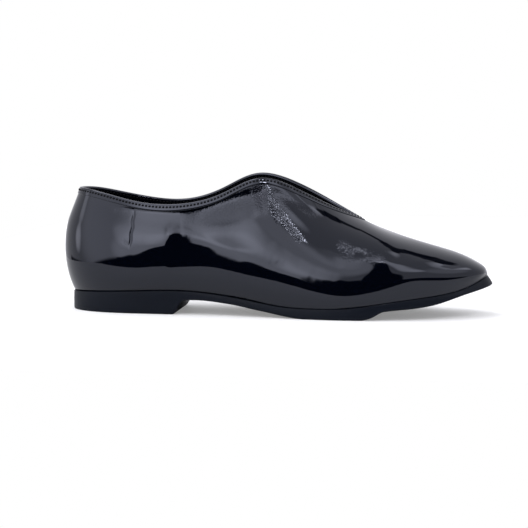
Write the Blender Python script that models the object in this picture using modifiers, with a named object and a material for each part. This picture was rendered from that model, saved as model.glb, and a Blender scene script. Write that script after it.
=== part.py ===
"""Right flat slip-on shoe with a V throat, a blunt almond toe and a low heel.

Pieces: a moulded outsole with its heel, an insole, a lasted upper that is hollow, and the
binding that folds over the topline. The last is worked out from the three tables below: a row
is one section across the shoe, counted from the toe tip back to the heel. A section has a
lateral wall and a medial wall. Each wall is a smooth curve from the feather edge, where the
upper meets the sole, past the flank to the topline or, over the vamp, to the ridge.

Frame: metres, +X to the toe, +Y to the medial side, +Z up, floor at Z = 0.
"""

import math

import bmesh
import bpy
import numpy as np
from mathutils import Vector

# Driving dimensions, in metres
SHOE_LENGTH = 0.260      # rearmost point of the upper to the sole's tip
BALL_WIDTH = 0.080       # across the feather edge at the ball
INSTEP_HEIGHT = 0.083    # floor to the topline's peak
HEEL_SEAT = 0.0138       # floor to the feather edge over the heel
UPPER_WALL = 0.0018
FIT_GAP = 0.0003         # between pieces that touch

# Sole
SOLE_MARGIN = 0.0005     # sole edge beyond the feather edge
SOLE_EDGE_ROUND = 0.0008
# Insole
INSOLE_THICKNESS = 0.0025
INSOLE_SETBACK = 0.0007  # beyond the upper's wall and gap
# Topline binding
BINDING_DEPTH = 0.0040   # how far each leg reaches down the wall
BINDING_LEAF = 0.0006    # thickness of the folded strip
BINDING_CROWN = 0.0005   # rise of its rounded top edge
UPPER_HALF = 0.5         # of a wall, where the binding runs

# Shares that shape a wall's flank
BULGE_SHARE = 0.35       # of the way up the wall's curve, where it is widest
TUCK_RISE = 0.30         # height of the lower guide point over that of the upper one
NOSE_REACH = -0.10       # guide points of the blunt toe, over the height of its wall
NOSE_LOW = 0.16
NOSE_BELLY = 0.53
RIDGE_EASE = 1.6         # sections in front of the throat over which the ridge's slope eases off

# Facets
COLUMN_STEP = 0.0052     # length along the shoe
WALL_ROWS = 12           # up a wall
ACROSS = np.linspace(0, 1, 5)  # across the sole and the insole
SHARP_EDGE = math.radians(40)
WELD = 1e-6
SLOPE_STEP = 1e-3        # for slopes, in sections or shares of a wall
FINE_STEPS = 80          # along a line that lengths are read from

# Feather edge. Along is a share of SHOE_LENGTH from the rearmost point, lateral and medial
# are shares of BALL_WIDTH from the heel axis, rise is a share of HEEL_SEAT above the floor,
# and flare is how far the sole's lower edge stands out, in metres.
FEATHER_COLUMNS = ("along_lateral", "lateral", "along_medial", "medial", "rise", "flare")
FEATHER = {
    "toe_tip":     (0.9880, 0.035, 0.9880, 0.035, 1.760, 0.0026),
    "toe_corner":  (0.9750, -0.092, 0.9762, 0.154, 1.640, 0.0023),
    "toe_side":    (0.9380, -0.206, 0.9430, 0.245, 1.310, 0.0014),
    "toe_box":     (0.8800, -0.320, 0.8900, 0.345, 1.045, 0.0008),
    "toe_joint":   (0.8110, -0.413, 0.8240, 0.430, 0.877, 0.0005),
    "ball_front":  (0.7420, -0.472, 0.7600, 0.475, 0.695, 0.0004),
    "throat":      (0.6730, -0.495, 0.6950, 0.473, 0.515, 0.0004),
    "ball_back":   (0.6000, -0.480, 0.6220, 0.425, 0.465, 0.0004),
    "waist_front": (0.5230, -0.431, 0.5380, 0.345, 0.507, 0.0004),
    "instep":      (0.4420, -0.381, 0.4500, 0.287, 0.746, 0.0004),
    "waist":       (0.3620, -0.345, 0.3640, 0.272, 0.950, 0.0004),
    "breast":      (0.2800, -0.330, 0.2800, 0.295, 1.043, 0.0002),
    "heel_front":  (0.1950, -0.325, 0.1950, 0.314, 1.000, 0.0000),
    "heel_side":   (0.1120, -0.290, 0.1120, 0.288, 0.935, 0.0000),
    "heel_corner": (0.0500, -0.181, 0.0500, 0.181, 0.870, 0.0000),
    "heel_back":   (0.0227, 0.000, 0.0227, 0.000, 0.833, 0.0000),
}

# Bulge of the wall's flank: how far its widest line stands out beyond the feather edge and how
# high above that edge it runs, in metres. A wall with no bulge is a blunt nose.
FLANK_COLUMNS = ("bulge_lateral", "bulge_medial", "height")
FLANK = {
    "toe_tip":     (0.0000, 0.0000, 0.0000),
    "toe_corner":  (0.0008, 0.0008, 0.0036),
    "toe_side":    (0.0016, 0.0016, 0.0072),
    "toe_box":     (0.0023, 0.0023, 0.0092),
    "toe_joint":   (0.0023, 0.0026, 0.0110),
    "ball_front":  (0.0016, 0.0024, 0.0078),
    "throat":      (0.0022, 0.0028, 0.0070),
    "ball_back":   (0.0022, 0.0036, 0.0100),
    "waist_front": (0.0037, 0.0052, 0.0146),
    "instep":      (0.0053, 0.0066, 0.0158),
    "waist":       (0.0048, 0.0070, 0.0170),
    "breast":      (0.0046, 0.0060, 0.0150),
    "heel_front":  (0.0048, 0.0050, 0.0145),
    "heel_side":   (0.0048, 0.0048, 0.0172),
    "heel_corner": (0.0054, 0.0054, 0.0226),
    "heel_back":   (0.0059, 0.0059, 0.0268),
}

# Ridge of the vamp as far as the throat, and from there the topline. Along is a share of
# SHOE_LENGTH, lateral and medial are shares of BALL_WIDTH, rise is a share of INSTEP_HEIGHT,
# lean is the wall's angle from upright there in degrees, and crown is the length of the guide
# that rounds the wall into it, as a share of BALL_WIDTH.
TOP_COLUMNS = ("along_lateral", "lateral", "rise_lateral", "along_medial", "medial", "rise_medial",
               "lean", "crown")
TOP = {
    "toe_tip":     (0.9500, 0.035, 0.408, 0.9500, 0.035, 0.408, 90, 0.065),
    "toe_corner":  (0.9340, 0.035, 0.432, 0.9340, 0.035, 0.432, 90, 0.095),
    "toe_side":    (0.9040, 0.034, 0.466, 0.9040, 0.034, 0.466, 90, 0.155),
    "toe_box":     (0.8580, 0.032, 0.507, 0.8580, 0.032, 0.507, 90, 0.230),
    "toe_joint":   (0.8000, 0.030, 0.559, 0.8000, 0.030, 0.559, 90, 0.258),
    "ball_front":  (0.7450, 0.028, 0.617, 0.7450, 0.028, 0.617, 90, 0.430),
    "throat":      (0.6930, 0.025, 0.697, 0.6930, 0.025, 0.697, 84, 0.420),
    "ball_back":   (0.6280, -0.085, 0.783, 0.6280, 0.128, 0.802, 68, 0.325),
    "waist_front": (0.5480, -0.195, 0.909, 0.5440, 0.226, 0.926, 45, 0.256),
    "instep":      (0.4650, -0.268, 0.976, 0.4480, 0.290, 0.993, 26, 0.260),
    "waist":       (0.3810, -0.304, 0.862, 0.3640, 0.310, 0.884, 19, 0.236),
    "breast":      (0.2900, -0.318, 0.787, 0.2820, 0.315, 0.797, 15, 0.200),
    "heel_front":  (0.2000, -0.302, 0.791, 0.2000, 0.300, 0.799, 14, 0.200),
    "heel_side":   (0.1200, -0.250, 0.843, 0.1200, 0.250, 0.845, 17, 0.200),
    "heel_corner": (0.0620, -0.166, 0.880, 0.0620, 0.166, 0.880, 19, 0.200),
    "heel_back":   (0.0350, 0.000, 0.887, 0.0350, 0.000, 0.887, 20, 0.200),
}

# Underside of the sole: along is a share of SHOE_LENGTH, rise is metres above the floor.
TREAD_COLUMNS = ("along", "rise")
TREAD = {
    "heel_rear":   (0.020, 0.0000),
    "breast_foot": (0.271, 0.0000),
    "breast_head": (0.296, 0.0086),
    "shank_rear":  (0.325, 0.0088),
    "shank":       (0.405, 0.0070),
    "shank_front": (0.475, 0.0038),
    "pad_rear":    (0.580, 0.0000),
    "pad_front":   (0.704, 0.0000),
    "step_foot":   (0.727, 0.0013),
    "step_head":   (0.757, 0.0051),
    "toe_joint":   (0.825, 0.0068),
    "toe_box":     (0.865, 0.0084),
    "toe_side":    (0.940, 0.0143),
    "toe_tip":     (1.000, 0.0187),
}

SECTIONS = tuple(FEATHER)
LAST_SECTION = len(SECTIONS) - 1
THROAT = SECTIONS.index("throat")
INSOLE_FRONT = SECTIONS.index("toe_corner")

PATENT_LEATHER = ((0.012, 0.013, 0.018), 0.08)
SOLE_RUBBER = ((0.016, 0.018, 0.024), 0.45)
SOCK_LINING = ((0.020, 0.020, 0.022), 0.70)


def column(table, names, name):
    """One named column of a table, as an array with a value for each row."""
    place = names.index(name)
    return np.array([row[place] for row in table.values()], float)


def cubic(knots, values, period=None):
    """Smooth curve through values at knots: closed if a period is given, else with free ends."""
    knots = np.asarray(knots, float)
    values = np.asarray(values, float)
    count = len(knots)
    if period:
        knots = np.append(knots, knots[0] + period)
        values = np.append(values, values[0])
    gaps = np.diff(knots)
    slopes = np.diff(values) / gaps
    matrix = np.eye(len(knots))
    right = np.zeros(len(knots))
    for i in range(1, len(gaps)):
        matrix[i, i - 1:i + 2] = gaps[i - 1], 2 * (gaps[i - 1] + gaps[i]), gaps[i]
        right[i] = 6 * (slopes[i] - slopes[i - 1])
    if period:
        matrix[0, [0, 1, count - 1]] = 2 * (gaps[-1] + gaps[0]), gaps[0], gaps[-1]
        right[0] = 6 * (slopes[0] - slopes[-1])
        matrix[-1, [0, -1]] = 1, -1
    bend = np.linalg.solve(matrix, right)

    def at(place):
        place = np.asarray(place, float)
        if period:
            place = knots[0] + (place - knots[0]) % period
        i = np.clip(np.searchsorted(knots, place, side="right") - 1, 0, len(gaps) - 1)
        ahead = (knots[i + 1] - place) / gaps[i]
        behind = 1 - ahead
        pull = (ahead**3 - ahead) * bend[i] + (behind**3 - behind) * bend[i + 1]
        return ahead * values[i] + behind * values[i + 1] + pull * gaps[i] ** 2 / 6

    return at


def monotone(knots, values):
    """Smooth curve through values at rising knots that never overshoots, so that flats stay flat."""
    knots = np.asarray(knots, float)
    values = np.asarray(values, float)
    gaps = np.diff(knots)
    slopes = np.diff(values) / gaps
    lean = np.zeros(len(knots))
    lean[0], lean[-1] = slopes[0], slopes[-1]
    for i in range(1, len(gaps)):
        if slopes[i - 1] * slopes[i] > 0:
            lean[i] = 2 * slopes[i - 1] * slopes[i] / (slopes[i - 1] + slopes[i])

    def at(place):
        place = np.clip(np.asarray(place, float), knots[0], knots[-1])
        i = np.clip(np.searchsorted(knots, place, side="right") - 1, 0, len(gaps) - 1)
        s = (place - knots[i]) / gaps[i]
        start = (1 + 2 * s) * (1 - s) ** 2 * values[i] + s * (1 - s) ** 2 * gaps[i] * lean[i]
        end = s * s * (3 - 2 * s) * values[i + 1] + s * s * (s - 1) * gaps[i] * lean[i + 1]
        return start + end

    return at


def round_the_shoe(lateral, medial):
    """Closed curve through a value for each section: lateral side to the heel, then medial side back."""
    values = np.concatenate([lateral, medial[-2:0:-1]])
    return cubic(range(len(values)), values, period=len(values))


def flank_guides(bulge, bulge_height, height, top_out):
    """Two guide points of a wall whose widest place is the bulge: their reach out of the feather
    edge and their heights. Top_out is the reach and height of the guide point that follows."""
    if bulge <= 0:
        return 0.0, NOSE_REACH * height, NOSE_LOW * height, NOSE_BELLY * height
    weights = wall_weights(BULGE_SHARE)
    rise = wall_weights(BULGE_SHARE + SLOPE_STEP) - wall_weights(BULGE_SHARE - SLOPE_STEP)
    rates = rise / (2 * SLOPE_STEP)
    sides = (bulge - weights[3] * top_out[0], -rates[3] * top_out[0])
    tuck, flare = np.linalg.solve([weights[1:3], rates[1:3]], sides)
    belly = (bulge_height - weights[3] * top_out[1]) / (weights[1] * TUCK_RISE + weights[2])
    return tuck, flare, TUCK_RISE * belly, belly


def wall_weights(share):
    """Pull of a wall's five guide points at a share of the way up it."""
    late = share > 0.5
    u = 2 * (1 - share if late else share)
    weights = np.array([(1 - u) ** 3, 1.75 * u**3 - 4.5 * u**2 + 3 * u, 1.5 * u**2 - u**3, u**3 / 4, 0])
    return weights[::-1] if late else weights


class Last:
    """The form that the upper is pulled over. Side is -1 for lateral and +1 for medial, and
    section runs from 0 at the toe tip to LAST_SECTION at the heel back."""

    def __init__(self):
        def both(table, names, lateral, medial, scale):
            sides = (column(table, names, lateral), column(table, names, medial))
            return round_the_shoe(sides[0] * scale, sides[1] * scale)

        self.loop = 2 * LAST_SECTION
        self.feather_x = both(FEATHER, FEATHER_COLUMNS, "along_lateral", "along_medial", SHOE_LENGTH)
        self.feather_y = both(FEATHER, FEATHER_COLUMNS, "lateral", "medial", BALL_WIDTH)
        self.feather_z = both(FEATHER, FEATHER_COLUMNS, "rise", "rise", HEEL_SEAT)
        self.sole_flare = both(FEATHER, FEATHER_COLUMNS, "flare", "flare", 1.0)
        self.lean = both(TOP, TOP_COLUMNS, "lean", "lean", math.pi / 180)
        self.crown = both(TOP, TOP_COLUMNS, "crown", "crown", BALL_WIDTH)

        names = ("along_lateral", "lateral", "rise_lateral", "along_medial", "medial", "rise_medial")
        scales = (SHOE_LENGTH, BALL_WIDTH, INSTEP_HEIGHT) * 2
        tops = [column(TOP, TOP_COLUMNS, name) * scale for name, scale in zip(names, scales)]
        self.ridge = [cubic(range(THROAT + 1), values[:THROAT + 1]) for values in tops[:3]]
        collar = range(THROAT, self.loop - THROAT + 1)
        self.collar = [cubic(collar, np.concatenate([lateral[THROAT:], medial[-2:THROAT - 1:-1]]))
                       for lateral, medial in zip(tops[:3], tops[3:])]

        flanks = {side: [] for side in (-1, 1)}
        for section, (bulge_lateral, bulge_medial, bulge_height) in enumerate(FLANK.values()):
            for side, bulge in ((-1, bulge_lateral), (1, bulge_medial)):
                rise = self.crown_guide(side, section) - self.feather(side, section)
                top_out = (rise @ self.outward(side, section), rise[2])
                height = self.top(side, section)[2] - self.feather(side, section)[2]
                flanks[side].append(flank_guides(bulge, bulge_height, height, top_out))
        sides = (np.array(flanks[-1]).T, np.array(flanks[1]).T)
        self.flank = [round_the_shoe(lateral, medial) for lateral, medial in zip(*sides)]
        crowns = [np.array([self.crown_guide(side, section) for section in range(LAST_SECTION + 1)]).T
                  for side in (-1, 1)]
        self.crown_line = [round_the_shoe(lateral, medial) for lateral, medial in zip(*crowns)]

    def place(self, side, section):
        """Place on the closed loop round the shoe."""
        return section if side < 0 else (self.loop - section) % self.loop

    def feather(self, side, section):
        place = self.place(side, section)
        return np.array([self.feather_x(place), self.feather_y(place), self.feather_z(place)])

    def outward(self, side, section):
        """Level direction that points straight out of the feather edge."""
        place = self.place(side, section)
        before, after = place - SLOPE_STEP, place + SLOPE_STEP
        run_x = self.feather_x(after) - self.feather_x(before)
        run_y = self.feather_y(after) - self.feather_y(before)
        return np.array([-run_y, run_x, 0.0]) / math.hypot(run_x, run_y)

    def top(self, side, section):
        if section <= THROAT:
            return np.array([f(section) for f in self.ridge])
        place = section if side < 0 else self.loop - section
        return np.array([f(place) for f in self.collar])

    def ridge_run(self, section):
        """Direction of the ridge towards the toe, which eases to level at the throat."""
        ease = np.clip((THROAT - section) / RIDGE_EASE, 0, 1)
        ease = ease * ease * (3 - 2 * ease)
        before = np.clip(section - SLOPE_STEP, 0, THROAT - SLOPE_STEP)
        slope = np.array([f(before) - f(before + SLOPE_STEP) for f in self.ridge])
        run = ease * slope / np.linalg.norm(slope) + (1 - ease) * np.array([1.0, 0.0, 0.0])
        return run / np.linalg.norm(run)

    def crown_guide(self, side, section):
        """Guide point that rounds a whole section's wall into its top."""
        place = self.place(side, section)
        out = self.outward(side, section)
        level = out[1] * np.array([0.0, 1.0, 0.0]) + out[0] * self.ridge_run(section)
        lean = self.lean(place)
        reach = math.sin(lean) * level - math.cos(lean) * np.array([0.0, 0.0, 1.0])
        return self.top(side, section) + self.crown(place) * reach

    def wall(self, side, section, shares):
        """Points up a wall at shares of the way from 0 at the feather edge to 1 at the top."""
        place = self.place(side, section)
        tuck, flare, low, belly = (f(place) for f in self.flank)
        foot, out, up = self.feather(side, section), self.outward(side, section), np.array([0.0, 0.0, 1.0])
        guides = np.array([
            foot,
            foot + out * tuck + up * low,
            foot + out * flare + up * belly,
            np.array([f(place) for f in self.crown_line]),
            self.top(side, section),
        ])
        return np.array([wall_weights(share) @ guides for share in shares])


LAST = Last()


def section_columns(first=0, extra=()):
    """Sections for a column of facets each: whole sections, even steps between them, and any extra ones."""
    found = set(extra)
    for section in range(first, LAST_SECTION):
        run = max(np.linalg.norm(LAST.feather(side, section + 1) - LAST.feather(side, section))
                  for side in (-1, 1))
        steps = max(2, round(run / COLUMN_STEP))
        found.update(section + i / steps for i in range(steps + 1))
    return sorted(found)


def section_at(along):
    """Section whose feather edge is at a share of the shoe's length, on average of its two sides."""
    fine = np.linspace(0, LAST_SECTION, LAST_SECTION * FINE_STEPS + 1)
    x = [(LAST.feather(-1, s)[0] + LAST.feather(1, s)[0]) / 2 for s in fine]
    return float(np.interp(-along * SHOE_LENGTH, -np.array(x), fine))


def sheet(points):
    """Grid whose vertices are laid on a table of points, with a row of points for each column of facets."""
    points = np.asarray(points, float)
    across, along = points.shape[1] - 1, points.shape[0] - 1
    mesh = bmesh.new()
    bmesh.ops.create_grid(mesh, x_segments=across, y_segments=along, size=0.5)
    for vertex in mesh.verts:
        i = round((vertex.co.y + 0.5) * along)
        j = round((vertex.co.x + 0.5) * across)
        vertex.co = Vector(points[i, j])
    return mesh


def weld(mesh):
    """Joins the seams of a sheet and drops the facets that collapse at its ends."""
    bmesh.ops.remove_doubles(mesh, verts=mesh.verts, dist=WELD)
    bmesh.ops.dissolve_degenerate(mesh, edges=mesh.edges, dist=WELD)


def material(name, look):
    colour, roughness = look
    made = bpy.data.materials.new(name)
    made.use_nodes = True
    shader = made.node_tree.nodes["Principled BSDF"]
    shader.inputs["Base Color"].default_value = (*colour, 1.0)
    shader.inputs["Roughness"].default_value = roughness
    shader.inputs["Metallic"].default_value = 0.0
    return made


def piece(name, mesh, look, parent, collection):
    """Object for one named piece of the shoe, shaded smooth except at its edges."""
    data = bpy.data.meshes.new(name)
    mesh.to_mesh(data)
    mesh.free()
    data.shade_smooth()
    data.set_sharp_from_angle(angle=SHARP_EDGE)
    data.materials.append(material(name, look))
    made = bpy.data.objects.new(name, data)
    made.parent = parent
    collection.objects.link(made)
    return made


def lasted_upper(parent, collection):
    """Vamp and quarters in one hollow wall: open at the topline and throat, and underneath."""
    columns = section_columns()
    shares = np.linspace(0, 1, WALL_ROWS + 1)
    mesh = bmesh.new()
    for side in (-1, 1):
        half = sheet([LAST.wall(side, section, shares) for section in columns])
        if side > 0:
            bmesh.ops.reverse_faces(half, faces=half.faces)
        data = bpy.data.meshes.new("half")
        half.to_mesh(data)
        half.free()
        mesh.from_mesh(data)
        bpy.data.meshes.remove(data)
    weld(mesh)
    made = piece("upper", mesh, PATENT_LEATHER, parent, collection)
    wall = made.modifiers.new("wall", "SOLIDIFY")
    wall.thickness = UPPER_WALL
    wall.offset = -1
    wall.use_even_offset = True
    return made


def outsole(parent, collection):
    """Moulded sole and heel in one: flat heel and forefoot pad, sloped breast, arched shank, toe spring."""
    tread_along = column(TREAD, TREAD_COLUMNS, "along")
    tread = monotone(tread_along * SHOE_LENGTH, column(TREAD, TREAD_COLUMNS, "rise"))
    rings = []
    for section in section_columns(extra=[section_at(along) for along in tread_along[1:-1]]):
        edges = []
        for side in (-1, 1):
            out = LAST.outward(side, section)
            top = LAST.feather(side, section) + out * SOLE_MARGIN - [0, 0, FIT_GAP]
            low = top + out * LAST.sole_flare(LAST.place(side, section))
            low[2] = tread(low[0]) + SOLE_EDGE_ROUND
            foot = low - out * SOLE_EDGE_ROUND
            foot[2] = tread(foot[0])
            edges.append((top, low, foot))
        (top_l, low_l, foot_l), (top_m, low_m, foot_m) = edges
        under = [foot_l + (foot_m - foot_l) * share for share in ACROSS]
        for point in under:
            point[2] = tread(point[0])
        over = [top_m + (top_l - top_m) * share for share in ACROSS]
        rings.append([low_l, *under, low_m, *over, low_l])
    mesh = sheet(rings)
    weld(mesh)
    bmesh.ops.recalc_face_normals(mesh, faces=mesh.faces)
    return piece("outsole", mesh, SOLE_RUBBER, parent, collection)


def insole(parent, collection):
    """Sock on its board, inside the upper's wall and on the sole."""
    setback = UPPER_WALL + FIT_GAP + INSOLE_SETBACK
    rings = []
    for section in section_columns(first=INSOLE_FRONT):
        edges = [LAST.feather(side, section) - LAST.outward(side, section) * setback for side in (-1, 1)]
        lower = [edges[0] + (edges[1] - edges[0]) * share for share in ACROSS]
        upper = [point + [0, 0, INSOLE_THICKNESS] for point in reversed(lower)]
        rings.append([*lower, *upper, lower[0]])
    mesh = sheet(rings)
    weld(mesh)
    bmesh.ops.holes_fill(mesh, edges=[edge for edge in mesh.edges if edge.is_boundary])
    bmesh.ops.recalc_face_normals(mesh, faces=mesh.faces)
    return piece("insole", mesh, SOCK_LINING, parent, collection)


def down_from_topline(side, section, depths):
    """Points on the wall's outer face at depths under the topline, and at the throat along the ridge."""
    if section == THROAT:
        fine = np.array([LAST.top(side, THROAT - share) for share in np.linspace(0, 1, FINE_STEPS + 1)])
    else:
        fine = LAST.wall(side, section, np.linspace(1, UPPER_HALF, FINE_STEPS + 1))
    steps = np.linalg.norm(np.diff(fine, axis=0), axis=1)
    depth = np.concatenate([[0], np.cumsum(steps)])
    return np.array([[np.interp(d, depth, fine[:, axis]) for axis in range(3)] for d in depths])


def topline_binding(parent, collection):
    """Strip folded over the edge of the topline, all the way round from the throat."""
    inner = FIT_GAP
    outer = FIT_GAP + BINDING_LEAF
    near, far = -UPPER_WALL - inner, -UPPER_WALL - outer
    profile = (                      # out of the wall, place down the wall, rise over that place
        (outer, 2, 0), (outer, 1, 0), (outer, 0, 0), (-UPPER_WALL / 2, 0, outer + BINDING_CROWN),
        (far, 0, 0), (far, 1, 0), (far, 2, 0),
        (near, 2, 0), (near, 1, 0), (near, 0, inner), (inner, 0, inner), (inner, 1, 0), (inner, 2, 0),
        (outer, 2, 0),
    )
    columns = section_columns(first=THROAT)
    stops = [(-1, section) for section in columns] + [(1, section) for section in columns[-2:0:-1]]
    rings = []
    for i, (side, section) in enumerate(stops):
        run = LAST.top(*stops[(i + 1) % len(stops)]) - LAST.top(*stops[i - 1])
        places = down_from_topline(side, section, (0, BINDING_DEPTH / 2, BINDING_DEPTH))
        downs = (places[1] - places[0], places[2] - places[0], places[2] - places[1])
        outs = [np.cross(run, down) for down in downs]
        outs = [out / np.linalg.norm(out) for out in outs]
        up = -downs[0] / np.linalg.norm(downs[0])
        rings.append([places[at] + outs[at] * reach + up * rise for reach, at, rise in profile])
    rings.append(rings[0])
    mesh = sheet(rings)
    weld(mesh)
    bmesh.ops.recalc_face_normals(mesh, faces=mesh.faces)
    return piece("topline_binding", mesh, PATENT_LEATHER, parent, collection)


def stand_on_origin(parent, pieces):
    """Sets the shoe on the floor with the middle of its length and width at the origin."""
    graph = bpy.context.evaluated_depsgraph_get()
    corners = np.array([corner for made in pieces for corner in made.evaluated_get(graph).bound_box])
    low, high = corners.min(axis=0), corners.max(axis=0)
    parent.location = (-(low[0] + high[0]) / 2, -(low[1] + high[1]) / 2, -low[2])


def main():
    for old in list(bpy.data.objects):
        bpy.data.objects.remove(old, do_unlink=True)
    collection = bpy.data.collections.new("flat_shoe")
    bpy.context.scene.collection.children.link(collection)
    parent = bpy.data.objects.new("shoe_origin", None)
    collection.objects.link(parent)
    pieces = [make(parent, collection) for make in (outsole, insole, lasted_upper, topline_binding)]
    stand_on_origin(parent, pieces)


main()
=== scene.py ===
import math

import bmesh
import bpy
import numpy as np
from mathutils import Matrix, Vector


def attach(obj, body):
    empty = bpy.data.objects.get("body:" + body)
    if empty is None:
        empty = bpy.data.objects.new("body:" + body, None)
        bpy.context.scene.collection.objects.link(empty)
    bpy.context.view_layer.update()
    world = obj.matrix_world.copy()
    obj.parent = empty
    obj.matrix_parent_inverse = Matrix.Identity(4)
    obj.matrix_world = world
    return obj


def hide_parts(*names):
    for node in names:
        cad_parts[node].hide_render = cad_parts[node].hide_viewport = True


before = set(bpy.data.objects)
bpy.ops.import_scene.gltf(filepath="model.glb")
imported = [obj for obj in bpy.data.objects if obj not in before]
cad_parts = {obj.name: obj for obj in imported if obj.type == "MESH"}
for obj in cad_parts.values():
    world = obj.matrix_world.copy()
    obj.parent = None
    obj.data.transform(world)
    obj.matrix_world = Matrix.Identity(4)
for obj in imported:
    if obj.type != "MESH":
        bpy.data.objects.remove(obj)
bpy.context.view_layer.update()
print("frame:", ", ".join(sorted(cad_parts)))

# The last: sizes in metres, and one row for each section from the toe tip back to the heel.
lastForm = {
    "length": 0.260,
    "ballWidth": 0.080,
    "instepHeight": 0.083,
    "heelSeat": 0.0138,
    "bulgeShare": 0.35,      # of the way up a wall, where it is widest
    "tuckRise": 0.30,
    "noseReach": -0.10,
    "noseLow": 0.16,
    "noseBelly": 0.53,
    "ridgeEase": 1.6,        # sections in front of the throat over which the ridge's slope eases off
    "heelToOrigin": (-0.130, 0.00045, 0.0),
    "slopeStep": 1e-3,
    # along and across lateral, along and across medial, rise, flare of the sole
    "feather": {
        "toeTip": (0.9880, 0.035, 0.9880, 0.035, 1.760, 0.0026),
        "toeCorner": (0.9750, -0.092, 0.9762, 0.154, 1.640, 0.0023),
        "toeSide": (0.9380, -0.206, 0.9430, 0.245, 1.310, 0.0014),
        "toeBox": (0.8800, -0.320, 0.8900, 0.345, 1.045, 0.0008),
        "toeJoint": (0.8110, -0.413, 0.8240, 0.430, 0.877, 0.0005),
        "ballFront": (0.7420, -0.472, 0.7600, 0.475, 0.695, 0.0004),
        "throat": (0.6730, -0.495, 0.6950, 0.473, 0.515, 0.0004),
        "ballBack": (0.6000, -0.480, 0.6220, 0.425, 0.465, 0.0004),
        "waistFront": (0.5230, -0.431, 0.5380, 0.345, 0.507, 0.0004),
        "instep": (0.4420, -0.381, 0.4500, 0.287, 0.746, 0.0004),
        "waist": (0.3620, -0.345, 0.3640, 0.272, 0.950, 0.0004),
        "breast": (0.2800, -0.330, 0.2800, 0.295, 1.043, 0.0002),
        "heelFront": (0.1950, -0.325, 0.1950, 0.314, 1.000, 0.0000),
        "heelSide": (0.1120, -0.290, 0.1120, 0.288, 0.935, 0.0000),
        "heelCorner": (0.0500, -0.181, 0.0500, 0.181, 0.870, 0.0000),
        "heelBack": (0.0227, 0.000, 0.0227, 0.000, 0.833, 0.0000),
    },
    # bulge lateral, bulge medial and its height over the feather edge
    "flank": {
        "toeTip": (0.0000, 0.0000, 0.0000),
        "toeCorner": (0.0008, 0.0008, 0.0036),
        "toeSide": (0.0016, 0.0016, 0.0072),
        "toeBox": (0.0023, 0.0023, 0.0092),
        "toeJoint": (0.0023, 0.0026, 0.0110),
        "ballFront": (0.0016, 0.0024, 0.0078),
        "throat": (0.0022, 0.0028, 0.0070),
        "ballBack": (0.0022, 0.0036, 0.0100),
        "waistFront": (0.0037, 0.0052, 0.0146),
        "instep": (0.0053, 0.0066, 0.0158),
        "waist": (0.0048, 0.0070, 0.0170),
        "breast": (0.0046, 0.0060, 0.0150),
        "heelFront": (0.0048, 0.0050, 0.0145),
        "heelSide": (0.0048, 0.0048, 0.0172),
        "heelCorner": (0.0054, 0.0054, 0.0226),
        "heelBack": (0.0059, 0.0059, 0.0268),
    },
    # along, across and rise lateral, the same medial, lean in degrees, crown
    "top": {
        "toeTip": (0.9500, 0.035, 0.408, 0.9500, 0.035, 0.408, 90, 0.065),
        "toeCorner": (0.9340, 0.035, 0.432, 0.9340, 0.035, 0.432, 90, 0.095),
        "toeSide": (0.9040, 0.034, 0.466, 0.9040, 0.034, 0.466, 90, 0.155),
        "toeBox": (0.8580, 0.032, 0.507, 0.8580, 0.032, 0.507, 90, 0.230),
        "toeJoint": (0.8000, 0.030, 0.559, 0.8000, 0.030, 0.559, 90, 0.258),
        "ballFront": (0.7450, 0.028, 0.617, 0.7450, 0.028, 0.617, 90, 0.430),
        "throat": (0.6930, 0.025, 0.697, 0.6930, 0.025, 0.697, 84, 0.420),
        "ballBack": (0.6280, -0.085, 0.783, 0.6280, 0.128, 0.802, 68, 0.325),
        "waistFront": (0.5480, -0.195, 0.909, 0.5440, 0.226, 0.926, 45, 0.256),
        "instep": (0.4650, -0.268, 0.976, 0.4480, 0.290, 0.993, 26, 0.260),
        "waist": (0.3810, -0.304, 0.862, 0.3640, 0.310, 0.884, 19, 0.236),
        "breast": (0.2900, -0.318, 0.787, 0.2820, 0.315, 0.797, 15, 0.200),
        "heelFront": (0.2000, -0.302, 0.791, 0.2000, 0.300, 0.799, 14, 0.200),
        "heelSide": (0.1200, -0.250, 0.843, 0.1200, 0.250, 0.845, 17, 0.200),
        "heelCorner": (0.0620, -0.166, 0.880, 0.0620, 0.166, 0.880, 19, 0.200),
        "heelBack": (0.0350, 0.000, 0.887, 0.0350, 0.000, 0.887, 20, 0.200),
    },
}
sectionNames = list(lastForm["feather"])
heelSection = len(sectionNames) - 1
throatSection = sectionNames.index("throat")
loopLength = 2 * heelSection
upward = np.array([0.0, 0.0, 1.0])


def tableColumn(table, place, scale=1.0):
    return np.array([row[place] for row in lastForm[table].values()], float) * scale


def smoothCurve(values, first=0, closed=False):
    # cubic spline through values at whole places, with free ends or closed
    values = np.asarray(values, float)
    if closed:
        values = np.append(values, values[0])
    count = len(values)
    matrix = np.eye(count)
    right = np.zeros(count)
    for i in range(1, count - 1):
        matrix[i, i - 1:i + 2] = 1, 4, 1
        right[i] = 6 * (values[i + 1] - 2 * values[i] + values[i - 1])
    if closed:
        matrix[0, [0, 1, count - 2]] = 4, 1, 1
        right[0] = 6 * (values[1] - values[0] - values[-1] + values[-2])
        matrix[-1, [0, -1]] = 1, -1
    bend = np.linalg.solve(matrix, right)

    def at(place):
        place = np.asarray(place, float) - first
        if closed:
            place = place % (count - 1)
        i = np.clip(np.floor(place).astype(int), 0, count - 2)
        behind = place - i
        ahead = 1 - behind
        pull = (ahead**3 - ahead) * bend[i] + (behind**3 - behind) * bend[i + 1]
        return ahead * values[i] + behind * values[i + 1] + pull / 6

    return at


def softRamp(share):
    share = np.clip(share, 0, 1)
    return share * share * (3 - 2 * share)


def roundTheShoe(lateral, medial):
    return smoothCurve(np.concatenate([lateral, medial[-2:0:-1]]), closed=True)


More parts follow.
